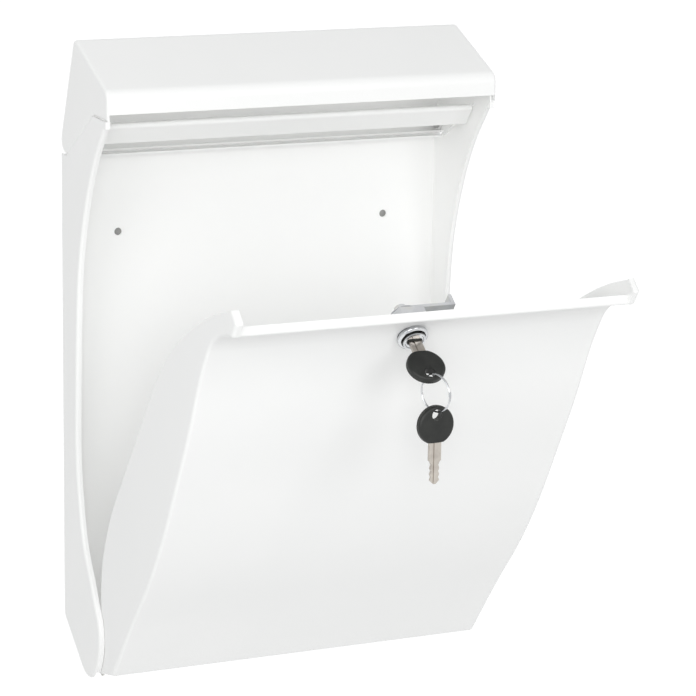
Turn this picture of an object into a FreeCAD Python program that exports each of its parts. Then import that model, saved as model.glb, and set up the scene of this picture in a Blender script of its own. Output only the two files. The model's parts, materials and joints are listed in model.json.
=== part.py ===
"""Wall mailbox of folded sheet steel: wave-sided body, lifting hood, tipping door, cam lock and two keys.

X runs to the right, Y into the wall, Z up. The origin lies on the wall in the middle of the four
screw holes. Outlines are given as depth in front of the wall and height, with the door shut;
the door and what it carries are then turned open about its bottom hinge.
"""
import FreeCAD, Part
import math
import os
import Sketcher

V = FreeCAD.Vector
doc = FreeCAD.newDocument("wall_mailbox")
dims = doc.addObject("Spreadsheet::Sheet", "dims")

SIZES = {
    # body of back panel and two wave-edged side plates
    "body_width": 260,
    "sheet": 1.2,
    "hole_span_x": 185,
    "hole_span_z": 200,
    "hole_radius": 2.5,
    "rear_corner_height": -152,
    "rear_bend": 8,
    "toe_depth": 51.7,
    "toe_height": -187.5,
    "toe_bend": 20,
    "panel_sole_depth": 36,
    "panel_sole_bend": 9,
    "panel_sole_rise": 0.6,
    "panel_front_depth": 49.5,
    "panel_lip": 6,
    "panel_flange": 13,
    "curl_gap": 0.9,
    "panel_bend": 2.5,
    "toe_front_depth": 64,
    "toe_front_height": -169,
    "bulge_depth": 70.3,
    "bulge_height": -146,
    "wave_low_depth": 57,
    "wave_low_height": -120,
    "wave_foot_depth": 39,
    "wave_foot_height": -91.5,
    "wave_shin_depth": 31,
    "wave_shin_height": -64,
    "waist_depth": 28,
    "waist_height": 20,
    "wave_neck_depth": 39,
    "wave_neck_height": 105,
    "wave_high_depth": 59,
    "wave_high_height": 150,
    "plate_front_depth": 86,
    "rim_width": 3.6,
    "rim_round": 2,
    # hood with its curled rear edge
    "hood_rear_depth": -9,
    "hood_rear_height": 140.5,
    "hood_curl": 8.5,
    "hood_top_depth": 26,
    "hood_top_height": 229,
    "hood_top_bend": 5,
    "hood_front_depth": 89,
    "hood_front_height": 203,
    "hood_front_bend": 8,
    "hood_lip_drop": 13,
    "hood_cheek_drop": 17,
    "hood_step_depth": 62,
    "hood_step_bend": 12,
    "hood_edge_round": 2,
    "hood_gap": 0.6,
    "tongue_gap": 0.5,
    "tongue_rise": 9,
    "tongue_root_rise": 2,
    "tongue_lobe": 6,
    "tongue_root_depth": 18.5,
    "ridge_width": 4.5,
    "hood_pin_radius": 2.5,
    "pin_length": 7,
    "running_clearance": 0.05,
    "clip_rim": 2.6,
    "clip_thickness": 1,
    "clip_play": 0.4,
    # rail across the posting slot
    "rail_front_depth": 62.5,
    "rail_sink": 6.5,
    "rail_drop": 13.5,
    "rail_slant": 11,
    "rail_flange": 8,
    "rail_bend": 2,
    # door
    "door_gap": 0.4,
    "hinge_depth": 58.5,
    "hinge_height": -171,
    "door_angle": 35.7,
    "door_pin_radius": 2,
    "door_lobe": 5,
    "door_foot_depth": 77.2,
    "door_foot_height": -153.3,
    "foot_bend": 5,
    "foot_run": 12,
    "foot_flange": 12,
    "belly_low_depth": 79,
    "belly_low_height": -115,
    "belly_depth": 84.3,
    "belly_height": -33.5,
    "breast_depth": 76.2,
    "breast_height": 62.6,
    "neck_depth": 65.6,
    "neck_height": 143.6,
    "flare_depth": 81.75,
    "flare_height": 174.25,
    "flare_lean": 49,
    "lip_depth": 85.9,
    "lip_return": 5.2,
    "lip_climb": 3.05,
    "lip_bend": 1.8,
    "ear_rise": 11.3,
    "ear_run": 9.6,
    "ear_climb": 1,
    "ear_bend": 1.5,
    "ear_rim": 4.5,
    "cheek_foot_depth": 20,
    "cheek_foot_height": -101,
    "cheek_back_depth": 16.8,
    "cheek_back_height": 0.5,
    "cheek_nape_depth": 27.3,
    "cheek_nape_height": 103.3,
    "cheek_throat_depth": 54.5,
    "cheek_throat_height": 160,
    "door_edge_round": 2.2,
    # cam lock
    "lock_standoff": 1.6,
    "bezel_radius": 9.4,
    "bezel_height": 4.5,
    "bezel_round": 1.2,
    "barrel_radius": 8.5,
    "barrel_length": 17.2,
    "barrel_clearance": 0.2,
    "plug_radius": 5.5,
    "plug_recess": 0.6,
    "plug_tail": 0.6,
    "washer_rim": 3.2,
    "washer_thickness": 1,
    "nut_across": 26,
    "nut_thickness": 8,
    "seat_gap": 0.05,
    "cam_reach": 33,
    "cam_width": 9,
    "cam_thickness": 2,
    "cam_lug": 8,
    "screw_radius": 2,
    "screw_length": 4,
    "screw_head_radius": 3.6,
    "screw_head_height": 2.4,
    # keys and ring
    "blade_width": 7.7,
    "blade_thickness": 1.9,
    "blade_tip": 2.2,
    "cut_count": 3,
    "blade_stem": 11,
    "blade_narrow": 5.8,
    "cut_depth": 0.7,
    "blade_length": 25,
    "blade_in_bow": 5,
    "blade_clearance": 0.06,
    "key_standoff": 13.2,
    "bow_radius": 11.5,
    "bow_flat": 1.4,
    "bow_thickness": 5,
    "bow_round": 1.6,
    "bow_hole_radius": 3.3,
    "bow_hole_wall": 1.9,
    "ring_radius": 11,
    "ring_wire": 0.95,
    "ring_hang": 29,
    "ring_turn": 22,
    "spare_turn": 18,
    "spare_sag": 1.4,
}

for row, (alias, size) in enumerate(SIZES.items(), start=1):
    dims.set(f"A{row}", alias)
    dims.set(f"B{row}", str(size))
    dims.setAlias(f"B{row}", alias)
doc.recompute()


def size(alias):
    return float(dims.get(alias))


FAR = 2 * size("body_width")
SHEET = size("sheet")
HALF = size("body_width") / 2
RIGHT, LEFT = 1, -1
SIDES = {"right": RIGHT, "left": LEFT}
STRAIGHT = 1e-4


def at(depth, height):
    """A point of a side outline: sketches on the YZ plane run along Y and Z."""
    return V(-depth, height, 0)


def named(stem):
    return at(size(stem + "_depth"), size(stem + "_height"))


def rounded(corners):
    """An open path of lines through (point, radius) corners, with a tangent arc at each inner one."""
    curves = []
    start = corners[0][0]
    for i in range(1, len(corners) - 1):
        corner, radius = corners[i]
        back = (corners[i - 1][0] - corner).normalize()
        ahead = (corners[i + 1][0] - corner).normalize()
        half = back.getAngle(ahead) / 2
        reach = radius / math.tan(half)
        first, last = corner + back * reach, corner + ahead * reach
        bisector = (back + ahead).normalize()
        middle = corner + bisector * (radius / math.sin(half) - radius)
        curves.append(Part.LineSegment(start, first))
        curves.append(Part.ArcOfCircle(first, middle, last))
        start = last
    curves.append(Part.LineSegment(start, corners[-1][0]))
    return curves


def arc_from(start, direction, end):
    """The arc that leaves start in a direction and ends at a point, or a line where that is straight."""
    chord = end - start
    side = V(-chord.y, chord.x, 0)
    turn = math.atan2(direction.dot(side), direction.dot(chord))
    if abs(turn) < STRAIGHT:
        return Part.LineSegment(start, end)
    return Part.ArcOfCircle(start, start + chord / 2 + side * (math.tan(turn / 2) / 2), end)


def smooth(points, first_direction, last_direction):
    """A path of tangent arcs that heads at each point along the circle through its neighbours."""
    headings = [first_direction]
    for before, point, after in zip(points, points[1:], points[2:]):
        arrive, leave = point - before, after - point
        ratio = leave.Length / arrive.Length
        headings.append((arrive * ratio + leave / ratio).normalize())
    headings.append(last_direction)
    curves = []
    for start, end, leaving, arriving in zip(points, points[1:], headings, headings[1:]):
        chord = end - start
        along = chord.dot(leaving + arriving)
        spread = 2 * (1 - leaving.dot(arriving))
        reach = chord.dot(chord) / (along + math.sqrt(along ** 2 + spread * chord.dot(chord)))
        joint = (start + end + (leaving - arriving) * reach) / 2
        curves.append(arc_from(start, leaving, joint))
        curves.append(arc_from(joint, (joint - start - leaving * reach).normalize(), end))
    return curves


def lines(points):
    return [Part.LineSegment(a, b) for a, b in zip(points, points[1:])]


def ends(curve):
    return curve.value(curve.FirstParameter), curve.value(curve.LastParameter)


def shifted(curves, distance):
    """The same path moved to the left of its direction by a distance."""
    moved = []
    for curve in curves:
        count = 2 if curve.TypeId == "Part::GeomLineSegment" else 3
        first, last = curve.FirstParameter, curve.LastParameter
        points = []
        for i in range(count):
            u = first + (last - first) * i / (count - 1)
            tangent = curve.tangent(u)[0].normalize()
            points.append(curve.value(u) + V(-tangent.y, tangent.x, 0) * distance)
        moved.append(Part.LineSegment(*points) if count == 2 else Part.ArcOfCircle(*points))
    return moved


def new_body(label):
    body = doc.addObject("PartDesign::Body", label)
    body.Label = label
    return body


def sketch(body, name, role, curves, offset=0):
    """A closed outline on one of the body's own planes, held where the sizes put it."""
    item = body.newObject("Sketcher::SketchObject", name)
    plane = [feature for feature in body.Origin.OriginFeatures if feature.Role == role][0]
    item.AttachmentSupport = [(plane, "")]
    item.MapMode = "FlatFace"
    item.AttachmentOffset = FreeCAD.Placement(V(0, 0, offset), FreeCAD.Rotation())
    for i, curve in enumerate(curves):
        item.addGeometry(curve, False)
        item.addConstraint(Sketcher.Constraint("Block", i))
    return item


def circle_sketch(body, name, role, centre, radius, offset=0):
    """A circle whose radius is bound to a size."""
    item = sketch(body, name, role, [], offset)
    item.addGeometry(Part.Circle(centre, V(0, 0, 1), 1), False)
    item.addConstraint(Sketcher.Constraint("Radius", 0, 1))
    item.setExpression("Constraints[0]", radius)
    item.addConstraint(Sketcher.Constraint("DistanceX", -1, 1, 0, 3, centre.x))
    item.addConstraint(Sketcher.Constraint("DistanceY", -1, 1, 0, 3, centre.y))
    return item


def pad(body, profile, length, reverse=False, symmetric=False):
    feature = body.newObject("PartDesign::Pad", profile.Name + "_pad")
    feature.Profile = profile
    feature.setExpression("Length", length)
    feature.SideType = "Symmetric" if symmetric else "One side"
    feature.Reversed = reverse
    doc.recompute()
    return feature


def pocket(body, profile, length=None, reverse=False, symmetric=False):
    """A cut that has to take material away."""
    before = body.Shape.Volume
    feature = body.newObject("PartDesign::Pocket", profile.Name + "_cut")
    feature.Profile = profile
    if length is None:
        feature.Type = "ThroughAll"
        feature.SideType = "Symmetric"
    else:
        feature.setExpression("Length", length)
        feature.SideType = "Symmetric" if symmetric else "One side"
        feature.Reversed = reverse
    doc.recompute()
    if body.Shape.Volume >= before:
        raise ValueError(f"{feature.Name} cuts nothing")
    return feature


def fillet(body, radius, chosen):
    """Round the tip's edges for which chosen(edge) holds."""
    base = body.Tip
    names = [f"Edge{i}" for i, edge in enumerate(base.Shape.Edges, start=1) if chosen(edge)]
    feature = body.newObject("PartDesign::Fillet", body.Name + "_round")
    feature.Base = (base, names)
    feature.setExpression("Radius", radius)
    doc.recompute()
    return feature


def middle(edge):
    return edge.valueAt((edge.FirstParameter + edge.LastParameter) / 2)


def lies_on(edge, curves, across, tolerance=0.01):
    """Whether an edge lies at x = across along one of the curves of a side outline."""
    point = middle(edge)
    if abs(point.x - across) > tolerance:
        return False
    vertex = Part.Vertex(V(point.y, point.z, 0))
    return any(vertex.distToShape(curve.toShape())[0] < tolerance for curve in curves)


def cylinder(body, name, radius, height, place=None, cut=False):
    kind = "Subtractive" if cut else "Additive"
    feature = body.newObject(f"PartDesign::{kind}Cylinder", name)
    feature.setExpression("Radius", radius)
    feature.setExpression("Height", height)
    feature.Placement = place or FreeCAD.Placement()
    doc.recompute()
    return feature


def lift(z):
    return FreeCAD.Placement(V(0, 0, z), FreeCAD.Rotation())


# Hood outline, drawn from the lower end of its curl round to the bottom of its front lip
hood_rear = named("hood_rear")
hood_top = named("hood_top")
hood_front = named("hood_front")
cheek_height = hood_front.y - size("hood_cheek_drop")
hood_step = at(size("hood_step_depth"), cheek_height)
hood_corner = at(size("hood_front_depth"), cheek_height)
hood_loop = rounded([
    (hood_step, 0),
    (hood_rear, size("hood_curl")),
    (hood_top, size("hood_top_bend")),
    (hood_front, size("hood_front_bend")),
    (hood_corner, 0),
])
hood_underside = rounded([
    (hood_corner, 0),
    (hood_step, size("hood_step_bend")),
    (ends(hood_loop[0])[1], 0),
])
hood_shell = hood_loop[1:]
hood_pivot = hood_shell[0].Center


def make_hood():
    """One folded sheet: curl, back wall, roof and lip, closed by a cheek on each side."""
    body = new_body("hood")
    outline = sketch(body, "hood_outline", "YZ_Plane", hood_underside + hood_shell)
    pad(body, outline, "dims.body_width", symmetric=True)
    fillet(body, "dims.hood_edge_round",
           lambda edge: lies_on(edge, hood_shell, HALF) or lies_on(edge, hood_shell, -HALF))
    inner = shifted(hood_shell, SHEET)
    mouth, lip = ends(inner[0])[0], ends(inner[-1])[1]
    lip_end = V(lip.x, hood_front.y - size("hood_lip_drop"), 0)
    inner[-1] = Part.LineSegment(ends(inner[-1])[0], lip_end)
    outward = (mouth - hood_pivot).normalize()
    below = mouth + outward * size("hood_curl")
    front = hood_front.x - FAR
    hollow = inner + lines([
        lip_end,
        V(front, lip_end.y, 0),
        V(front, below.y, 0),
        below,
        mouth,
    ])
    cut = sketch(body, "hood_hollow", "YZ_Plane", hollow)
    pocket(body, cut, "dims.body_width - 2 * dims.sheet", symmetric=True)


# Side plate outline, from the rear notch down the wall, round the toe and up the wave
edge_gap = V(0, -size("hood_gap"), 0)
notch = V(0, hood_pivot.y - size("hood_curl") - size("curl_gap"), 0)
rear_corner = at(0, size("rear_corner_height"))
plate_low = rounded([
    (notch, 0),
    (rear_corner, size("rear_bend")),
    (named("toe"), size("toe_bend")),
    (named("toe_front"), 0),
])
plate_front = at(size("plate_front_depth"), cheek_height) + edge_gap
plate_step = hood_step + edge_gap
WAVE = ("toe_front", "bulge", "wave_low", "wave_foot", "wave_shin", "waist", "wave_neck", "wave_high")
wave = smooth(
    [named(stem) for stem in WAVE] + [plate_front],
    (named("toe_front") - named("toe")).normalize(),
    (plate_front - named("wave_high")).normalize(),
)
diagonal = (hood_step - ends(hood_loop[0])[1]).normalize()
root = plate_step + diagonal * ((-size("tongue_root_depth") - plate_step.x) / diagonal.x)
shoulder = plate_step + diagonal * ((notch.y - plate_step.y) / diagonal.y)
TONGUE_DEPTH = "2 * dims.sheet + dims.tongue_gap"


def make_side_plate(label, side):
    """A flat plate with a turned-in front rim and an inset tongue that carries the hood."""
    body = new_body(label)
    inward = side == RIGHT
    outline = plate_low + wave + lines([plate_front, plate_step, shoulder, notch])
    pad(body, sketch(body, label + "_outline", "YZ_Plane", outline), "dims.rim_width", reverse=inward)
    front_edge = plate_low[4:] + wave
    fillet(body, "dims.rim_round", lambda edge: lies_on(edge, front_edge, 0))
    inner = shifted(front_edge, -SHEET)
    low, high = ends(inner[0])[0], ends(inner[-1])[1]
    wide = inner + lines([high, V(high.x, FAR, 0), V(FAR, FAR, 0), V(FAR, -FAR, 0), V(low.x, -FAR, 0), low])
    floor = sketch(body, label + "_inside", "YZ_Plane", wide, -side * SHEET)
    pocket(body, floor, "dims.rim_width", reverse=not inward)
    drop = V(0, -size("ridge_width"), 0)
    rise = V(0, size("tongue_rise"), 0)
    ridge = [root, plate_step, plate_front, plate_front + drop, plate_step + drop, root + drop, root]
    pad(body, sketch(body, label + "_ridge", "YZ_Plane", lines(ridge)), TONGUE_DEPTH, reverse=inward)
    above = V(diagonal.y, -diagonal.x, 0) * size("tongue_lobe")
    root_top = root + V(0, size("tongue_root_rise"), 0)
    tongue = [hood_pivot, root_top, root + drop, plate_step + drop, plate_front + drop, plate_front + rise,
              plate_step + rise, hood_pivot + above, hood_pivot]
    start = -side * (SHEET + size("tongue_gap"))
    pad(body, sketch(body, label + "_tongue", "YZ_Plane", lines(tongue), start), "dims.sheet", reverse=inward)
    knuckle = circle_sketch(body, label + "_knuckle", "YZ_Plane", hood_pivot, "dims.tongue_lobe", start)
    pad(body, knuckle, "dims.sheet", reverse=inward)
    bore = circle_sketch(body, label + "_bore", "YZ_Plane", hood_pivot,
                         "dims.hood_pin_radius + dims.running_clearance")
    pocket(body, bore)
    body.Placement = FreeCAD.Placement(V(side * HALF, 0, 0), FreeCAD.Rotation())


def make_back_panel():
    """One bent sheet between the plates: top flange, back, sloping bottom, sole and upturned front lip."""
    body = new_body("back_panel")
    slope = (named("toe") - rear_corner).normalize()
    sole = rear_corner + slope * (-size("panel_sole_depth") / slope.x)
    front = V(-size("panel_front_depth"), sole.y + size("panel_sole_rise"), 0)
    outer = rounded([
        (notch - V(size("panel_flange"), 0, 0), 0),
        (notch, size("panel_bend")),
        (rear_corner, size("rear_bend")),
        (sole, size("panel_sole_bend")),
        (front, size("panel_bend")),
        (front + V(0, size("panel_lip"), 0), 0),
    ])
    sheet_profile(body, outer, -SHEET, "dims.body_width - 2 * dims.sheet")
    for x in (-1, 1):
        for z in (-1, 1):
            spot = V(x * size("hole_span_x") / 2, z * size("hole_span_z") / 2, 0)
            hole = circle_sketch(body, f"screw_hole_{x + 1}{z + 1}", "XZ_Plane", spot, "dims.hole_radius")
            pocket(body, hole)


def make_slot_rail():
    """A folded strip welded between the plates' tongues behind the posting slot."""
    body = new_body("slot_rail")
    front = at(size("rail_front_depth"), cheek_height - size("rail_sink"))
    outer = rounded([
        (front + V(size("rail_flange"), 0, 0), 0),
        (front, size("rail_bend")),
        (front + V(size("rail_slant"), -size("rail_drop"), 0), 0),
    ])
    sheet_profile(body, outer, SHEET, f"dims.body_width - 2 * ({TONGUE_DEPTH})")


def sheet_profile(body, outer, thickness, width):
    """A sheet bent along a path across the mailbox, its thickness to the left, or right if negative."""
    inner = shifted(outer, thickness)
    tail = Part.LineSegment(ends(outer[-1])[1], ends(inner[-1])[1])
    head = Part.LineSegment(ends(inner[0])[0], ends(outer[0])[0])
    profile = sketch(body, body.Name + "_profile", "YZ_Plane", outer + inner + [head, tail])
    pad(body, profile, width, symmetric=True)


# Door outline about its hinge axis, from the flange under its bottom edge up to the lip
hinge = named("hinge")
door_place = FreeCAD.Placement(V(0, hinge.x, hinge.y), FreeCAD.Rotation(V(1, 0, 0), size("door_angle")))
door_half = HALF - size("rim_width") - size("door_gap")
DOOR_WIDTH = "dims.body_width - 2 * dims.rim_width - 2 * dims.door_gap"


def on_door(stem):
    return named(stem) - hinge


def round_hinge(radius, degrees):
    """A point on a circle about the hinge, by its angle above the forward direction."""
    turn = math.radians(degrees)
    return V(-radius * math.cos(turn), radius * math.sin(turn), 0)


lobe = size("door_lobe")
lobe_low = round_hinge(lobe, 270)
door_foot = on_door("door_foot")
foot_rise = (on_door("belly_low") - door_foot).normalize()
foot_top = door_foot + foot_rise * size("foot_run")
flange_end = door_foot + (lobe_low - door_foot).normalize() * size("foot_flange")
foot_fold = rounded([(flange_end, 0), (door_foot, size("foot_bend")), (foot_top, 0)])
flare = on_door("flare")
lean = math.radians(size("flare_lean"))
flare_direction = V(-math.sin(lean), math.cos(lean), 0)
front_sheet = foot_fold + smooth(
    [foot_top] + [on_door(stem) for stem in ("belly_low", "belly", "breast", "neck")],
    foot_rise,
    V(0, 1, 0),
)
front_sheet += smooth([on_door("neck"), flare], V(0, 1, 0), flare_direction)
lip_x = hinge.x + size("lip_depth")
lip_corner = flare + flare_direction * ((-lip_x - flare.x) / flare_direction.x)


def make_door():
    """A folded tray: wavy front with a turned-back lip, and a cheek with a rimmed horn at each side."""
    body = new_body("door")
    ear_front = lip_corner + V(0, size("ear_rise"), 0)
    ear_tip = ear_front + V(size("ear_run"), size("ear_climb"), 0)
    ear = rounded([
        (flare, 0),
        (lip_corner, size("lip_bend")),
        (ear_front, size("ear_bend")),
        (ear_tip, 0),
    ])
    rear_points = [ear_tip] + [on_door("cheek_" + s) for s in ("throat", "nape", "back", "foot")]
    rear_edge = smooth(
        rear_points + [round_hinge(lobe, 180)],
        (rear_points[1] - rear_points[0]).normalize(),
        V(0, -1, 0),
    )
    heel = Part.ArcOfCircle(*[round_hinge(lobe, angle) for angle in (180, 225, 270)])
    outline = front_sheet + ear + rear_edge + [heel] + lines([lobe_low, flange_end])
    pad(body, sketch(body, "door_outline", "YZ_Plane", outline), DOOR_WIDTH, symmetric=True)
    soft = front_sheet + ear[:3]
    fillet(body, "dims.door_edge_round",
           lambda edge: lies_on(edge, soft, door_half) or lies_on(edge, soft, -door_half))
    lip_back = lip_corner + V(size("lip_return"), size("lip_climb"), 0)
    lip = rounded([(flare, 0), (lip_corner, size("lip_bend")), (lip_back, 0)])
    inner = shifted(front_sheet + lip, -SHEET)
    first, last = ends(inner[0])[0], ends(inner[-1])[1]
    below = flange_end + (flange_end - first).normalize() * FAR
    rim_line = shifted(ear[-1:], -SHEET)[0]
    rim_way = rim_line.tangent(rim_line.FirstParameter)[0].normalize()
    lip_way = (ends(lip[-1])[1] - last).normalize()
    rim_start = last + lip_way * ((ends(rim_line)[0] - last).dot(V(-rim_way.y, rim_way.x, 0))
                                  / lip_way.dot(V(-rim_way.y, rim_way.x, 0)))
    hollow = inner + lines([last, rim_start, rim_start + rim_way * FAR, V(FAR, -FAR, 0), below, first])
    cut = sketch(body, "door_hollow", "YZ_Plane", hollow)
    pocket(body, cut, f"{DOOR_WIDTH} - 2 * dims.sheet", symmetric=True)
    above = [V(FAR, last.y, 0), V(FAR, FAR, 0), V(-FAR, FAR, 0), V(-FAR, flare.y, 0)]
    mouth = lip + lines([ends(lip[-1])[1], last] + above + [flare])
    cut = sketch(body, "door_mouth", "YZ_Plane", mouth)
    pocket(body, cut, f"{DOOR_WIDTH} - 2 * dims.ear_rim", symmetric=True)
    pivots = circle_sketch(body, "door_pivots", "YZ_Plane", V(0, 0, 0),
                           "dims.door_pin_radius + dims.running_clearance")
    pocket(body, pivots)
    lock_hole = circle_sketch(body, "lock_hole", "XZ_Plane", V(0, on_door("neck").y, 0),
                              "dims.barrel_radius + dims.barrel_clearance")
    pocket(body, lock_hole)
    body.Placement = door_place


# Hinge studs and their push-on clips
def make_stud(label, side, centre, root, radius):
    """A stud welded to the inside of a sheet, pointing inwards."""
    body = new_body(label)
    cylinder(body, label + "_shank", radius, "dims.pin_length")
    body.Placement = FreeCAD.Placement(V(side * root, centre.x, centre.y), FreeCAD.Rotation(V(0, -side, 0), 90))


def make_clip(label, side, centre, seat, radius):
    """A push-on ring that keeps a swinging sheet on its stud."""
    body = new_body(label)
    cylinder(body, label + "_ring", f"{radius} + dims.clip_rim", "dims.clip_thickness")
    cylinder(body, label + "_bore", radius, "dims.clip_thickness", cut=True)
    body.Placement = FreeCAD.Placement(V(side * seat, centre.x, centre.y), FreeCAD.Rotation(V(0, -side, 0), 90))


# Cam lock, its own axis pointing out of the door sheet
lock_seat = size("neck_depth") + size("lock_standoff")
lock_spot = at(lock_seat, size("neck_height")) - hinge
lock_place = door_place * FreeCAD.Placement(V(0, lock_spot.x, lock_spot.y), FreeCAD.Rotation(V(1, 0, 0), 90))
plug_tail = -size("barrel_length") - size("plug_tail")
sheet_back = -size("lock_standoff") - SHEET - size("seat_gap")


def make_lock_housing():
    body = new_body("lock_housing")
    cylinder(body, "bezel", "dims.bezel_radius", "dims.bezel_height")
    fillet(body, "dims.bezel_round", lambda edge: abs(middle(edge).z - size("bezel_height")) < size("seat_gap"))
    cylinder(body, "barrel", "dims.barrel_radius", "dims.barrel_length", lift(-size("barrel_length")))
    cylinder(body, "plug_bore", "dims.plug_radius + dims.running_clearance",
             "dims.barrel_length + dims.bezel_height", lift(-size("barrel_length")), cut=True)
    body.Placement = lock_place


def make_lock_washer():
    body = new_body("lock_washer")
    bottom = lift(sheet_back - size("washer_thickness"))
    cylinder(body, "washer_disc", "dims.barrel_radius + dims.washer_rim", "dims.washer_thickness", bottom)
    cylinder(body, "washer_bore", "dims.barrel_radius + dims.seat_gap", "dims.washer_thickness", bottom, cut=True)
    body.Placement = lock_place


def make_lock_nut():
    body = new_body("lock_nut")
    corner = size("nut_across") / 2 / math.cos(math.pi / 6)
    hexagon = [V(corner, 0, 0)]
    for i in range(1, 6):
        hexagon.append(V(corner * math.cos(i * math.pi / 3), corner * math.sin(i * math.pi / 3), 0))
    bottom = sheet_back - size("washer_thickness") - size("seat_gap") - size("nut_thickness")
    pad(body, sketch(body, "nut_hexagon", "XY_Plane", lines(hexagon + hexagon[:1]), bottom), "dims.nut_thickness")
    cylinder(body, "nut_bore", "dims.barrel_radius + dims.seat_gap", "dims.nut_thickness", lift(bottom), cut=True)
    body.Placement = lock_place


def rectangle(width, height, low):
    """Corners of a rectangle centred on the first axis, from low along the second."""
    half = width / 2
    corners = [V(-half, low, 0), V(half, low, 0), V(half, low + height, 0), V(-half, low + height, 0)]
    return lines(corners + corners[:1])


blade_end = size("key_standoff") - size("blade_length")
KEYWAY = "dims.blade_thickness + 2 * dims.blade_clearance"


def make_lock_plug():
    body = new_body("lock_plug")
    cylinder(body, "plug_core", "dims.plug_radius", "dims.barrel_length + dims.plug_tail + dims.bezel_height"
             " - dims.plug_recess", lift(plug_tail))
    slot = rectangle(size("blade_width") + 2 * size("blade_clearance"), FAR, blade_end - size("blade_clearance"))
    pocket(body, sketch(body, "keyway", "XZ_Plane", slot), KEYWAY, symmetric=True)
    cylinder(body, "screw_bore", "dims.screw_radius + dims.seat_gap", "dims.screw_length - dims.cam_thickness",
             lift(plug_tail), cut=True)
    body.Placement = lock_place


def make_lock_cam():
    """A flat arm on the plug's tail, its far end bent back as a lug."""
    body = new_body("lock_cam")
    half = size("cam_width") / 2
    reach = size("cam_reach")
    arm = [Part.ArcOfCircle(V(0, half, 0), V(-half, 0, 0), V(0, -half, 0))]
    arm += lines([V(0, -half, 0), V(reach, -half, 0), V(reach, half, 0), V(0, half, 0)])
    front = plug_tail - size("seat_gap")
    pad(body, sketch(body, "cam_arm", "XY_Plane", arm, front), "dims.cam_thickness", reverse=True)
    bend = reach - size("cam_thickness")
    lug = lines([V(bend, -half, 0), V(reach, -half, 0), V(reach, half, 0), V(bend, half, 0), V(bend, -half, 0)])
    pad(body, sketch(body, "cam_lug_foot", "XY_Plane", lug, front), "dims.cam_lug", reverse=True)
    cylinder(body, "cam_bore", "dims.screw_radius + dims.seat_gap", "dims.cam_thickness",
             lift(front - size("cam_thickness")), cut=True)
    body.Placement = lock_place


def make_cam_screw():
    body = new_body("cam_screw")
    under_head = plug_tail - size("cam_thickness") - 2 * size("seat_gap")
    cylinder(body, "screw_shank", "dims.screw_radius", "dims.screw_length", lift(under_head))
    cylinder(body, "screw_head", "dims.screw_head_radius", "dims.screw_head_height",
             lift(under_head - size("screw_head_height")))
    body.Placement = lock_place


# Keys: the shoulder where the blade meets the bow is each key's own zero
bow_centre = size("bow_radius") - size("bow_flat")
bow_hole = bow_centre + size("bow_radius") - size("bow_hole_wall") - size("bow_hole_radius")


def make_key_blade(label, place):
    """A flat blade: a full-width stem, then a narrower shank with a row of cuts along both edges."""
    body = new_body(label)
    half = size("blade_width") / 2
    narrow = size("blade_narrow") / 2
    tip = -size("blade_length")
    slope = size("blade_tip")
    high = -size("blade_stem") - (half - narrow)
    pitch = (high - tip - slope) / size("cut_count")
    edge = [V(half, size("blade_in_bow"), 0), V(half, -size("blade_stem"), 0), V(narrow, high, 0)]
    for i in range(int(size("cut_count"))):
        edge.append(V(narrow - size("cut_depth"), high - (i + 0.5) * pitch, 0))
        edge.append(V(narrow, high - (i + 1) * pitch, 0))
    edge.append(V(narrow - slope, tip, 0))
    mirrored = [V(-point.x, point.y, 0) for point in reversed(edge)]
    flat = sketch(body, label + "_outline", "XZ_Plane", lines(edge + mirrored + edge[:1]))
    pad(body, flat, "dims.blade_thickness", symmetric=True)
    body.Placement = place


def make_key_bow(label, place):
    """A round plastic grip moulded over the blade's end, flat at the blade, with a hole for the ring."""
    body = new_body(label)
    disc = circle_sketch(body, label + "_disc", "XZ_Plane", V(0, bow_centre, 0), "dims.bow_radius")
    pad(body, disc, "dims.bow_thickness", symmetric=True)
    fillet(body, "dims.bow_round", lambda edge: edge.Closed)
    pocket(body, sketch(body, label + "_flat", "XZ_Plane", rectangle(FAR, FAR, -FAR)))
    socket = rectangle(size("blade_width"), FAR, size("blade_in_bow") - FAR)
    pocket(body, sketch(body, label + "_socket", "XZ_Plane", socket), "dims.blade_thickness", symmetric=True)
    hole = circle_sketch(body, label + "_hole", "XZ_Plane", V(0, bow_hole, 0), "dims.bow_hole_radius")
    pocket(body, hole)
    body.Placement = place


key_place = lock_place * lift(size("key_standoff"))
ring_top = key_place.multVec(V(0, 0, bow_hole))
ring_turn = math.radians(size("ring_turn"))
ring_hang = math.radians(size("ring_hang"))
ring_axis = V(math.cos(ring_turn), math.sin(ring_turn), 0)
ring_forward = V(math.sin(ring_turn), -math.cos(ring_turn), 0)
ring_centre = ring_top + (ring_forward * math.sin(ring_hang) - V(0, 0, math.cos(ring_hang))) * size("ring_radius")
spare_hole = ring_centre - V(0, 0, size("ring_radius") + size("spare_sag"))
spare_turn = FreeCAD.Rotation(V(0, 0, 1), size("ring_turn") - size("spare_turn"))
spare_place = FreeCAD.Placement(spare_hole, spare_turn) * lift(-bow_hole)


def make_key_ring():
    body = new_body("key_ring")
    ring = body.newObject("PartDesign::AdditiveTorus", "ring_wire")
    ring.setExpression("Radius1", "dims.ring_radius")
    ring.setExpression("Radius2", "dims.ring_wire")
    body.Placement = FreeCAD.Placement(ring_centre, FreeCAD.Rotation(V(0, 0, 1), ring_axis))


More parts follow.
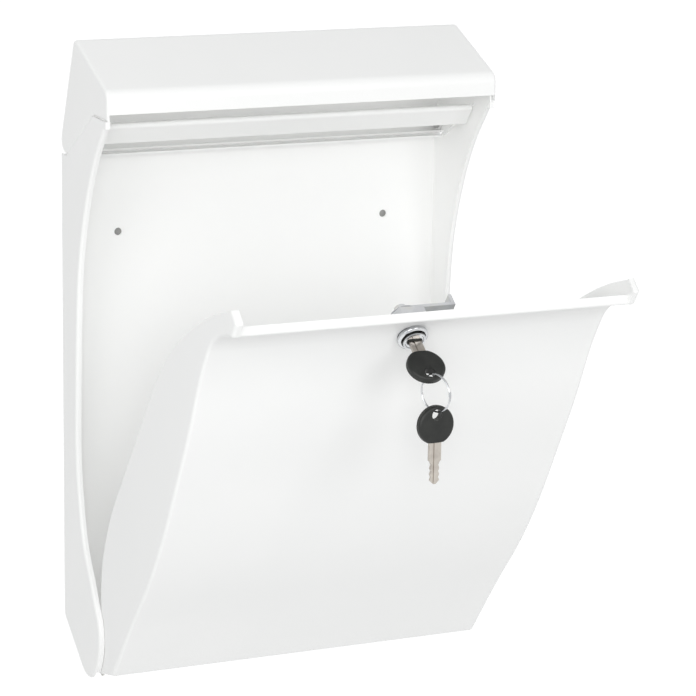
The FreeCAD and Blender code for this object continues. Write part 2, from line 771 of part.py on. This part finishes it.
make_back_panel()
make_slot_rail()
make_hood()
make_door()
for name, side in SIDES.items():
    make_side_plate(f"side_plate_{name}", side)
    make_stud(f"hood_pin_{name}", side, hood_pivot, HALF - SHEET, "dims.hood_pin_radius")
    tongue_face = HALF - 2 * SHEET - size("tongue_gap") - size("clip_play")
    make_clip(f"hood_clip_{name}", side, hood_pivot, tongue_face, "dims.hood_pin_radius")
    make_stud(f"door_pin_{name}", side, hinge, HALF - SHEET, "dims.door_pin_radius")
    make_clip(f"door_clip_{name}", side, hinge, door_half - SHEET - size("clip_play"), "dims.door_pin_radius")
make_lock_housing()
make_lock_washer()
make_lock_nut()
make_lock_plug()
make_lock_cam()
make_cam_screw()
make_key_blade("key_blade", key_place)
make_key_bow("key_bow", key_place)
make_key_ring()
make_key_blade("spare_key_blade", spare_place)
make_key_bow("spare_key_bow", spare_place)
doc.recompute()

for item in doc.Objects:
    if "Invalid" in item.State or "Error" in item.State:
        raise RuntimeError(f"{item.Label} failed: {item.State}")
nodes = [item for item in doc.Objects if item.TypeId == "PartDesign::Body"]
for node in nodes:
    if node.Shape.isNull() or not node.Shape.isValid() or len(node.Shape.Solids) != 1:
        raise RuntimeError(f"{node.Label} is not one sound solid")

os.makedirs("parts", exist_ok=True)
for node in nodes:
    node.Shape.exportStep(os.path.join("parts", node.Label + ".step"))
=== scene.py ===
"""Wall mailbox of white folded steel: its finishes, its lock and key detail, the camera and the studio."""

import json
import math

import bmesh
import bpy
from mathutils import Matrix, Vector


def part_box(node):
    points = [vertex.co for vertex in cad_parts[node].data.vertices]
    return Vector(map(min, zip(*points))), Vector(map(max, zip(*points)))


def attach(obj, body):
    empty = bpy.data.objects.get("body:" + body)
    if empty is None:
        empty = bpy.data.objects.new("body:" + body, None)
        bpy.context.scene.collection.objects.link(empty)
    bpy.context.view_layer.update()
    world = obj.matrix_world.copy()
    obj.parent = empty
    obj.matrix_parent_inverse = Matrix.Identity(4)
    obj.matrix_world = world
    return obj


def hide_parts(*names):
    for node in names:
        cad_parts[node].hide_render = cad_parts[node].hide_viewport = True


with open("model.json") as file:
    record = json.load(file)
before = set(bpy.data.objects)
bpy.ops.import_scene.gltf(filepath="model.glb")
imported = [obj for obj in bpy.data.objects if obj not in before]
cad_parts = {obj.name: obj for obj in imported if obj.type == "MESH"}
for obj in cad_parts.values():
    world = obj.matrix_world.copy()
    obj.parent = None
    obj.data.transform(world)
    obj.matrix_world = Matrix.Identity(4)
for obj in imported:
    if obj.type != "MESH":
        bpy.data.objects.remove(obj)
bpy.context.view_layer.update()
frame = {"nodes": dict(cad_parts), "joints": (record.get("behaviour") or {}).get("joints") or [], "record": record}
joints = {joint["name"]: joint for joint in frame["joints"]}

# Sizes of pieces are in millimetres, and those of the camera and the studio in metres
MM = 0.001


# Objects and meshes

def put(name, data):
    """A new object in the scene."""
    thing = bpy.data.objects.new(name, data)
    bpy.context.scene.collection.objects.link(thing)
    return thing


def mesh_of(shape, name):
    """A mesh of a finished bmesh, which is then let go."""
    mesh = bpy.data.meshes.new(name)
    shape.to_mesh(mesh)
    shape.free()
    return mesh


def applied(holder, name):
    """A plain mesh of what an object's curve or modifiers give."""
    graph = bpy.context.evaluated_depsgraph_get()
    mesh = bpy.data.meshes.new_from_object(holder.evaluated_get(graph))
    mesh.name = name
    return mesh


# Finishes

def new_finish(name, **constants):
    """A material whose constant values sit on the shader's own sockets."""
    finish = bpy.data.materials.new(name)
    finish.use_nodes = True
    shader = finish.node_tree.nodes["Principled BSDF"]
    for socket, value in constants.items():
        shader.inputs[socket.replace("_", " ")].default_value = value
    return finish


def add(tree, kind, settings=None, **inputs):
    """One node, with its settings and the values or links of its inputs."""
    node = tree.nodes.new(kind)
    for key, value in (settings or {}).items():
        setattr(node, key, value)
    for key, value in inputs.items():
        socket = node.inputs[key.replace("_", " ")]
        if isinstance(value, bpy.types.NodeSocket):
            tree.links.new(value, socket)
        else:
            socket.default_value = value
    return node


def reckoned(tree, operation, first, second):
    """One number worked out from two."""
    node = add(tree, "ShaderNodeMath", {"operation": operation})
    tree.links.new(first, node.inputs[0])
    tree.links.new(second, node.inputs[1])
    return node.outputs[0]


def place_of(tree, stretch=(1, 1, 1)):
    """Object coordinates, stretched for grain that runs one way."""
    spot = add(tree, "ShaderNodeTexCoord")
    return add(tree, "ShaderNodeMapping", Vector=spot.outputs["Object"], Scale=stretch).outputs["Vector"]


def grain(tree, place, scale, detail):
    """Noise from 0 to 1."""
    return add(tree, "ShaderNodeTexNoise", Vector=place, Scale=scale, Detail=detail).outputs["Fac"]


def tones(tree, amount, *stops):
    """A colour ramp from (position, colour) stops."""
    ramp = add(tree, "ShaderNodeValToRGB", Fac=amount)
    elements = ramp.color_ramp.elements
    while len(elements) < len(stops):
        elements.new(0.5)
    for element, (position, colour) in zip(elements, stops):
        element.position = position
        element.color = (*colour, 1)
    return ramp.outputs["Color"]


def spread(tree, amount, low, high):
    """An amount from 0 to 1, spread from low to high."""
    return add(tree, "ShaderNodeMapRange", Value=amount, To_Min=low, To_Max=high).outputs["Result"]


def dents(tree, height, strength, depth, under=None):
    """Bumps of a depth in metres, on the bumps under them if there are any."""
    bump = add(tree, "ShaderNodeBump", Height=height, Strength=strength, Distance=depth)
    if under:
        tree.links.new(under, bump.inputs["Normal"])
    return bump.outputs["Normal"]


def set_look(tree, colour, roughness=None, normal=None):
    """Lead a finish's colour, roughness and bumps to its shader."""
    shader = tree.nodes["Principled BSDF"]
    for socket, value in (("Base Color", colour), ("Roughness", roughness), ("Normal", normal)):
        if value:
            tree.links.new(value, shader.inputs[socket])


def powder_coat():
    """White powder coat: satin, with a fine orange peel and a slightly uneven film."""
    thin_film = (0.938, 0.940, 0.934)
    full_film = (0.954, 0.954, 0.948)
    finish = new_finish("white_powder_coat", Specular_IOR_Level=0.45)
    tree = finish.node_tree
    place = place_of(tree)
    film = grain(tree, place, scale=14, detail=3)
    peel = grain(tree, place, scale=620, detail=2)
    speck = grain(tree, place, scale=2600, detail=1)
    soft = dents(tree, peel, strength=0.10, depth=0.00035)
    set_look(
        tree,
        colour=tones(tree, film, (0.30, thin_film), (0.70, full_film)),
        roughness=spread(tree, peel, low=0.34, high=0.46),
        normal=dents(tree, speck, strength=0.05, depth=0.00008, under=soft),
    )
    return finish


def zinc_plate():
    """Zinc-plated steel with drawn lines and a faint passivated tint."""
    dull = (0.50, 0.51, 0.53)
    clear = (0.60, 0.61, 0.62)
    tinted = (0.62, 0.60, 0.55)
    finish = new_finish("zinc_plated_steel", Metallic=1.0)
    tree = finish.node_tree
    lines = grain(tree, place_of(tree, stretch=(1, 1, 14)), scale=240, detail=4)
    cloud = grain(tree, place_of(tree), scale=90, detail=3)
    set_look(
        tree,
        colour=tones(tree, cloud, (0.25, dull), (0.55, clear), (0.80, tinted)),
        roughness=spread(tree, lines, low=0.26, high=0.44),
        normal=dents(tree, lines, strength=0.12, depth=0.0001),
    )
    return finish


def bright_chrome():
    """Bright plating with hairline scratches, with painted shade in the groove and round the bore where a piece's
    attribute marks it.
    """
    hazed = (0.46, 0.47, 0.49)
    bright = (0.60, 0.61, 0.62)
    # Painted shade: near-black for the groove and the bore's edge that the attribute marks
    painted_shade_colour = (0.03, 0.03, 0.03)
    finish = new_finish("bright_chrome", Metallic=1.0)
    tree = finish.node_tree
    hair = grain(tree, place_of(tree, stretch=(1, 12, 1)), scale=500, detail=3)
    haze = grain(tree, place_of(tree), scale=160, detail=3)
    painted_shade = add(tree, "ShaderNodeAttribute", {"attribute_name": "painted_shade"}).outputs["Fac"]
    haze_and_painted_shade = reckoned(tree, "ADD", haze, painted_shade)
    set_look(
        tree,
        colour=tones(tree, haze_and_painted_shade, (0.30, hazed), (0.62, bright), (0.78, bright), (1.00, painted_shade_colour)),
        roughness=spread(tree, hair, low=0.07, high=0.19),
        normal=dents(tree, hair, strength=0.05, depth=0.00005),
    )
    return finish


def key_nickel():
    """Nickel-plated key blank, brushed along its length and warm where it is handled."""
    shaded = (0.46, 0.42, 0.38)
    rubbed = (0.58, 0.54, 0.49)
    finish = new_finish("key_nickel", Metallic=1.0)
    tree = finish.node_tree
    lines = grain(tree, place_of(tree, stretch=(18, 18, 1)), scale=260, detail=4)
    rub = grain(tree, place_of(tree), scale=180, detail=2)
    set_look(
        tree,
        colour=tones(tree, rub, (0.30, shaded), (0.70, rubbed)),
        roughness=spread(tree, lines, low=0.24, high=0.42),
        normal=dents(tree, lines, strength=0.15, depth=0.00008),
    )
    return finish


def grip_plastic():
    """Black moulded plastic with a fine spark-eroded grain."""
    deep = (0.010, 0.011, 0.010)
    rubbed = (0.020, 0.021, 0.019)
    finish = new_finish("black_grip_plastic", Specular_IOR_Level=0.4)
    tree = finish.node_tree
    place = place_of(tree)
    pits = grain(tree, place, scale=1900, detail=2)
    rub = grain(tree, place, scale=150, detail=3)
    set_look(
        tree,
        colour=tones(tree, rub, (0.35, deep), (0.75, rubbed)),
        roughness=spread(tree, rub, low=0.36, high=0.52),
        normal=dents(tree, pits, strength=0.25, depth=0.00012),
    )
    return finish


FINISHES = {
    "white_coat": powder_coat(),
    "zinc_steel": zinc_plate(),
    "chrome": bright_chrome(),
    "nickel": key_nickel(),
    "black_plastic": grip_plastic(),
}
for subpart in frame["record"]["subparts"]:
    node = frame["nodes"][subpart["node"]]
    for material_slot in node.material_slots:
        material_slot.material = FINISHES[subpart["material_slot"]]


# Ways of placing and making pieces

def axes_at(origin, right, up, out):
    """The place whose own X, Y and Z axes run right, up and out."""
    return Matrix.Translation(origin) @ Matrix((right, up, out)).transposed().to_4x4()


def shifted_out(height):
    """A shift along a piece's own Z axis."""
    return Matrix.Translation((0, 0, height * MM))


def settle(piece, place, body, stands_for=()):
    """Put a piece's place into its mesh, and let it ride on a body."""
    piece.data.transform(place)
    piece.data.update()
    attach(piece, body)
    if stands_for:
        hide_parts(*stands_for)


STEPS_PER_TURN = 72
WIRE_INPUTS = {"Turns": "Float", "Radius": "Float", "Rise": "Float", "Wire": "Float", "Corners": "Int",
               "Finish": "Material"}


def wound_wire():
    """Nodes for a wire wound in turns about the Z axis, and the identifiers of their inputs."""
    tree = bpy.data.node_groups.new("wound_wire", "GeometryNodeTree")
    sockets = {}
    for name, kind in WIRE_INPUTS.items():
        socket = tree.interface.new_socket(name, in_out="INPUT", socket_type="NodeSocket" + kind)
        sockets[name] = socket.identifier
    tree.interface.new_socket("Geometry", in_out="OUTPUT", socket_type="NodeSocketGeometry")
    given = tree.nodes.new("NodeGroupInput").outputs
    path = add(tree, "GeometryNodeCurveSpiral", Resolution=STEPS_PER_TURN, Rotations=given["Turns"],
               Start_Radius=given["Radius"], End_Radius=given["Radius"], Height=given["Rise"])
    section = add(tree, "GeometryNodeCurvePrimitiveCircle", Resolution=given["Corners"],
                  Radius=given["Wire"])
    swept = add(tree, "GeometryNodeCurveToMesh", Curve=path.outputs["Curve"],
                Profile_Curve=section.outputs["Curve"], Fill_Caps=True)
    real = add(tree, "GeometryNodeRealizeInstances", Geometry=swept.outputs["Mesh"])
    painted = add(tree, "GeometryNodeSetMaterial", Geometry=real.outputs["Geometry"],
                  Material=given["Finish"])
    out = tree.nodes.new("NodeGroupOutput")
    tree.links.new(painted.outputs["Geometry"], out.inputs["Geometry"])
    return tree, sockets


WOUND_WIRE, WOUND_SOCKETS = wound_wire()


def wound(name, smooth, **inputs):
    """A plain mesh of a wound wire, from its sizes and finish."""
    holder = put(name, bpy.data.meshes.new(name + "_start"))
    modifier = holder.modifiers.new("wound_wire", "NODES")
    modifier.node_group = WOUND_WIRE
    for key, value in inputs.items():
        modifier[WOUND_SOCKETS[key]] = value
    mesh = applied(holder, name)
    holder.modifiers.clear()
    holder.data = mesh
    if smooth:
        mesh.shade_smooth()
    else:
        mesh.shade_flat()
    return holder


TURNED_STEPS = 96
TURNED_WELD = 0.001
SHARP_FROM = math.radians(32)


def turned(name, profile, finish):
    """A closed profile of (radius, height, painted shade) turned about the Z axis."""
    shape = bmesh.new()
    painted_shade_layer = shape.verts.layers.float.new("painted_shade")
    rim = []
    for radius, height, *painted_shade in profile:
        corner = shape.verts.new((radius * MM, 0, height * MM))
        corner[painted_shade_layer] = painted_shade[0] if painted_shade else 0
        rim.append(corner)
    edges = [shape.edges.new((a, b)) for a, b in zip(rim, rim[1:] + rim[:1])]
    bmesh.ops.spin(shape, geom=rim + edges, axis=(0, 0, 1), cent=(0, 0, 0), angle=2 * math.pi,
                   steps=TURNED_STEPS)
    bmesh.ops.remove_doubles(shape, verts=shape.verts, dist=TURNED_WELD * MM)
    bmesh.ops.recalc_face_normals(shape, faces=shape.faces)
    mesh = mesh_of(shape, name)
    mesh.materials.append(finish)
    mesh.shade_smooth()
    mesh.set_sharp_from_angle(angle=SHARP_FROM)
    return put(name, mesh)


# The lock's own axes: out of the door, to the right and up along the door
lock_out = Vector(joints["key_turn"]["axis"])
lock_right = Vector((1, 0, 0))
lock_up = lock_out.cross(lock_right)
lock_axes = axes_at(Vector(joints["key_turn"]["pos_m"]), lock_right, lock_up, lock_out)

# The lock barrel, in (radius, height over the door's face, painted shade)
BARREL_RADIUS = 8.35
BARREL_BORE = 5.60
BARREL_REAR = -17.2
BARREL_PROFILE = [
    # Straight barrel through the door
    (BARREL_BORE, BARREL_REAR), (8.10, BARREL_REAR), (BARREL_RADIUS, -16.9), (BARREL_RADIUS, 0.0),
    # Rounded flange on the door's face
    (9.22, 0.0), (9.37, 0.15), (9.40, 0.9), (9.25, 1.45), (8.85, 1.9), (7.85, 2.35), (7.60, 2.30),
    # Groove inside the flange, darkened with painted shade
    (7.45, 1.9, 1), (7.25, 1.9, 1), (7.15, 2.3, 1), (7.09, 3.3, 1),
    # Raised collar round the plug, with half painted shade at the bore's edge, fading down the bore
    (7.05, 3.9), (6.85, 4.35), (6.50, 4.5), (5.95, 4.5), (5.70, 4.3), (BARREL_BORE, 3.8, 0.5),
]
barrel = turned("lock_barrel_turned", BARREL_PROFILE, FINISHES["chrome"])
settle(barrel, lock_axes, "door", ["lock_housing"])

# The thread on the barrel's rear end
THREAD_PITCH = 0.8
THREAD_RUN = 4.4
THREAD_START = -16.8
THREAD_WIRE = 0.38
THREAD_CORNERS = 4
thread = wound("lock_barrel_thread", smooth=False, Finish=FINISHES["chrome"],
               Turns=THREAD_RUN / THREAD_PITCH, Radius=BARREL_RADIUS * MM, Rise=THREAD_RUN * MM,
               Wire=THREAD_WIRE * MM, Corners=THREAD_CORNERS)
settle(thread, lock_axes @ shifted_out(THREAD_START), "door")

# The keyway's painted shade: a dark bevelled plate on the plug's face, slotted for the blade, standing for the
# shade in the keyway, in half sizes
PLUG_FACE = 3.9
KEYWAY_SHADE_HALF = (4.9, 2.1)
KEYWAY_SHADE_CORNER = 1.9
KEYWAY_SHADE_HEIGHT = 0.45
KEYWAY_SHADE_BEVEL = 0.1
SLOT_HALF = (3.97, 1.07)
SLOT_CORNER = 0.2
CORNER_STEPS = 8


def rounded_loop(curve, half, corner):
    """A closed rectangle with rounded corners, as one outline of a flat curve."""
    points = []
    for quarter, (side, end) in enumerate(((1, 1), (-1, 1), (-1, -1), (1, -1))):
        for step in range(CORNER_STEPS + 1):
            angle = math.pi / 2 * (quarter + step / CORNER_STEPS)
            points.append(Vector((side * (half[0] - corner) + corner * math.cos(angle),
                                  end * (half[1] - corner) + corner * math.sin(angle), 0)) * MM)
    outline = curve.splines.new("POLY")
    outline.points.add(len(points) - 1)
    for point, spot in zip(outline.points, points):
        point.co = (*spot, 1)
    outline.use_cyclic_u = True


def slotted_plate(name, finish):
    """The plate of painted keyway shade with its slot, lying flat about its own middle."""
    curve = bpy.data.curves.new(name, "CURVE")
    curve.dimensions = "2D"
    curve.fill_mode = "BOTH"
    curve.bevel_depth = KEYWAY_SHADE_BEVEL * MM
    curve.offset = -KEYWAY_SHADE_BEVEL * MM
    curve.extrude = (KEYWAY_SHADE_HEIGHT / 2 - KEYWAY_SHADE_BEVEL) * MM
    rounded_loop(curve, KEYWAY_SHADE_HALF, KEYWAY_SHADE_CORNER)
    rounded_loop(curve, SLOT_HALF, SLOT_CORNER)
    holder = put(name, curve)
    mesh = applied(holder, name)
    bpy.data.objects.remove(holder)
    mesh.materials.clear()
    mesh.materials.append(finish)
    return put(name, mesh)


# Painted shade: a black plate round the blade where the keyway lies in shade
shade_plate = slotted_plate("keyway_shade_plate", FINISHES["black_plastic"])
settle(shade_plate, lock_axes @ shifted_out(PLUG_FACE + KEYWAY_SHADE_HEIGHT / 2), "plug")

# The split ring: two turns side by side where the frame has one thick wire
RING_RADIUS = 11.0
RING_WIRE = 0.47
RING_TURNS = 2.04
RING_CORNERS = 14
ring_low, ring_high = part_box("key_ring")
ring_forward = Vector(joints["spare_swing"]["axis"])
ring_axis = Vector((-ring_forward.y, ring_forward.x, 0))
ring_axes = axes_at((ring_low + ring_high) / 2, ring_forward, ring_axis.cross(ring_forward), ring_axis)
split_ring = wound("split_ring", smooth=True, Finish=FINISHES["chrome"], Turns=RING_TURNS,
                   Radius=RING_RADIUS * MM, Rise=2 * RING_WIRE * MM, Wire=RING_WIRE * MM,
                   Corners=RING_CORNERS)
settle(split_ring, ring_axes @ shifted_out(-RING_WIRE), "ring", ["key_ring"])

# The key blades: the frame's own, with a groove milled along each face
BLADE_THICKNESS = 1.9
BLADE_WELD = 0.0001
GROOVE_WIDTH = 1.5
GROOVE_DEPTH = 0.5
GROOVE_SLOPE = 0.25
GROOVE_SHIFT = 1.35
CUTTER_REACH = 40
CUTTER_PROUD = 0.2
SPARE_TURN = math.radians(18)


def groove_cutter(middle, across, face):
    """Two long prisms in millimetres, one over each face of a blade and left of its middle as seen."""
    top = GROOVE_WIDTH / 2
    bottom = top - GROOVE_SLOPE
    section = ((-top, CUTTER_PROUD), (top, CUTTER_PROUD), (bottom, -GROOVE_DEPTH), (-bottom, -GROOVE_DEPTH))
    along = across.cross(face)
    shape = bmesh.new()
    for side in (1, -1):
        seat = middle / MM + side * (face * BLADE_THICKNESS / 2 - across * GROOVE_SHIFT)
        ends = [[shape.verts.new(seat + side * (across * x + face * y) + along * end) for x, y in section]
                for end in (-CUTTER_REACH, CUTTER_REACH)]
        for i in range(len(section)):
            shape.faces.new((ends[0][i - 1], ends[0][i], ends[1][i], ends[1][i - 1]))
        for end in ends:
            shape.faces.new(end)
    bmesh.ops.recalc_face_normals(shape, faces=shape.faces)
    return put("groove_cutter", mesh_of(shape, "groove_cutter"))


def milled_blade(name, blank, body, across, face):
    """A merged copy of a blade with its grooves cut, which stands for that blade."""
    low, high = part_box(blank)
    shape = bmesh.new()
    shape.from_mesh(frame["nodes"][blank].data)
    shape.transform(Matrix.Scale(1 / MM, 4))
    bmesh.ops.remove_doubles(shape, verts=shape.verts, dist=BLADE_WELD)
    blade = put(name, mesh_of(shape, name + "_blank"))
    cutter = groove_cutter((low + high) / 2, across, face)
    cut = blade.modifiers.new("milled", "BOOLEAN")
    cut.operation = "DIFFERENCE"
    cut.solver = "EXACT"
    cut.object = cutter
    milled = applied(blade, name)
    blade.modifiers.clear()
    bpy.data.objects.remove(cutter)
    blade.data = milled
    milled.materials.clear()
    milled.materials.append(FINISHES["nickel"])
    milled.shade_flat()
    settle(blade, Matrix.Scale(MM, 4), body, [blank])


milled_blade("key_blade_milled", "key_blade", "plug", lock_right, lock_up)
spare_turn = Matrix.Rotation(-SPARE_TURN, 3, "Z")
milled_blade("spare_blade_milled", "spare_key_blade", "spare_key",
             spare_turn @ ring_axis, spare_turn @ ring_forward)


# Camera, at the photograph's viewing angle, its sensor in millimetres
YAW = math.radians(23.803)
PITCH = math.radians(13.613)
ROLL = math.radians(-0.921)
AIM = Vector((0.047361, -0.050, 0.023199))
DISTANCE = 1.93824
FOCAL_PIXELS = 2995.63
IMAGE_PIXELS = 696
SENSOR_WIDTH = 36

forward = Vector((math.sin(YAW) * math.cos(PITCH), math.cos(YAW) * math.cos(PITCH), -math.sin(PITCH)))
level = Vector((math.cos(YAW), -math.sin(YAW), 0))
down = forward.cross(level)
right = math.cos(ROLL) * level + math.sin(ROLL) * down
upward = math.sin(ROLL) * level - math.cos(ROLL) * down
camera_data = bpy.data.cameras.new("photo_camera")
camera_data.sensor_fit = "HORIZONTAL"
camera_data.sensor_width = SENSOR_WIDTH
camera_data.lens = FOCAL_PIXELS / IMAGE_PIXELS * SENSOR_WIDTH
camera = put("photo_camera", camera_data)
camera.matrix_world = axes_at(AIM - forward * DISTANCE, right, upward, -forward)
bpy.context.scene.camera = camera
bpy.context.scene.view_settings.view_transform = "Standard"

# White sheets hand light on to each other many times inside the box
bpy.context.scene.cycles.diffuse_bounces = 12


# Studio: pale floor far below, white surround and soft lamps
WHITE = (1, 1, 1, 1)
SURROUND_TINT = (0.99, 1, 1, 1)
SURROUND_LIGHT = 0.59
FLOOR_PAINT = (0.9, 0.9, 0.9, 1)
FLOOR_GLOW = 0.55
FLOOR_SIZE = 30
FLOOR_HEIGHT = -1.3
LAMP_AIM = Vector((0, -0.1, 0.02))
LAMPS = (
    # Name, place, width and watts
    ("front_right_lamp", (0.6, -2.26, 0.88), 1.0, 8.4),
    ("left_lamp", (-1.6, -1.45, 0.7), 1.2, 9.2),
    ("camera_side_lamp", (-0.75, -2.0, 0.55), 0.8, 10.0),
)


def lead_by_sight(tree, seen, lit, surface):
    """One shader for rays from the camera, a mirror or glass, and another for light on surfaces."""
    path = add(tree, "ShaderNodeLightPath").outputs
    shine = reckoned(tree, "MAXIMUM", path["Is Glossy Ray"], path["Is Transmission Ray"])
    mix = add(tree, "ShaderNodeMixShader", Fac=reckoned(tree, "MAXIMUM", path["Is Camera Ray"], shine))
    tree.links.new(lit, mix.inputs[1])
    tree.links.new(seen, mix.inputs[2])
    tree.links.new(mix.outputs[0], surface)


def white_surround():
    """A world that is seen as white and lights the object at a lower level."""
    world = bpy.data.worlds.new("white_surround")
    bpy.context.scene.world = world
    world.use_nodes = True
    tree = world.node_tree
    tree.nodes.clear()
    glow = add(tree, "ShaderNodeBackground", Color=WHITE, Strength=1.0)
    light = add(tree, "ShaderNodeBackground", Color=SURROUND_TINT, Strength=SURROUND_LIGHT)
    surface = add(tree, "ShaderNodeOutputWorld").inputs["Surface"]
    lead_by_sight(tree, glow.outputs[0], light.outputs[0], surface)


def floor_paint():
    """Pale paint that keeps shadows, lifted to white where it is seen."""
    finish = new_finish("floor_paint", Base_Color=FLOOR_PAINT, Roughness=0.9, Specular_IOR_Level=0.0)
    tree = finish.node_tree
    paint = tree.nodes["Principled BSDF"].outputs[0]
    glow = add(tree, "ShaderNodeEmission", Color=WHITE, Strength=FLOOR_GLOW)
    lifted = tree.nodes.new("ShaderNodeAddShader")
    tree.links.new(paint, lifted.inputs[0])
    tree.links.new(glow.outputs[0], lifted.inputs[1])
    lead_by_sight(tree, lifted.outputs[0], paint, tree.nodes["Material Output"].inputs["Surface"])
    return finish


def pale_floor():
    """A wide floor below the mailbox."""
    shape = bmesh.new()
    bmesh.ops.create_grid(shape, x_segments=1, y_segments=1, size=FLOOR_SIZE)
    mesh = mesh_of(shape, "pale_floor")
    mesh.materials.append(floor_paint())
    floor = put("pale_floor", mesh)
    floor.location.z = FLOOR_HEIGHT


# Discs of painted shade in the screw holes: their share of a hole's radius, and millimetres in front of the wall
SHADE_SHARE = 0.98
SHADE_DEPTH = 0.2
SHADE_CORNERS = 32


def hole_shade_paint():
    """Plain dark grey painted shade, with a faint grain, for what shows through the screw holes."""
    # Painted shade: these greys stand for the dark seen through each hole
    dark = (0.24, 0.24, 0.235)
    pale = (0.33, 0.33, 0.32)
    finish = new_finish("hole_shade_paint", Roughness=0.9)
    tree = finish.node_tree
    shade_grain = grain(tree, place_of(tree), scale=300, detail=3)
    set_look(tree, colour=tones(tree, shade_grain, (0.30, dark), (0.70, pale)))
    return finish


def hole_shade():
    """Painted shade in the screw holes: a dark grey disc just inside each."""
    holes = frame["record"]["mounts"][0]["dims"]
    shape = bmesh.new()
    for x in (-0.5, 0.5):
        for z in (-0.5, 0.5):
            spot = Vector((x * holes["spacing_x_mm"], -SHADE_DEPTH, z * holes["spacing_y_mm"])) * MM
            facing = Matrix.Translation(spot) @ Matrix.Rotation(math.pi / 2, 4, "X")
            bmesh.ops.create_circle(shape, cap_ends=True, segments=SHADE_CORNERS,
                                    radius=SHADE_SHARE * holes["hole_r_mm"] * MM, matrix=facing)
    mesh = mesh_of(shape, "hole_shade")
    mesh.materials.append(hole_shade_paint())
    shade = put("hole_shade", mesh)


def soft_lamp(name, place, width, watts):
    """A round soft lamp that faces the mailbox."""
    data = bpy.data.lights.new(name, "AREA")
    data.shape = "DISK"
    data.size = width
    data.energy = watts
    lamp = put(name, data)
    lamp.location = place
    lamp.rotation_euler = (LAMP_AIM - Vector(place)).to_track_quat("-Z", "Y").to_euler()


white_surround()
pale_floor()
hole_shade()
for lamp_values in LAMPS:
    soft_lamp(*lamp_values)
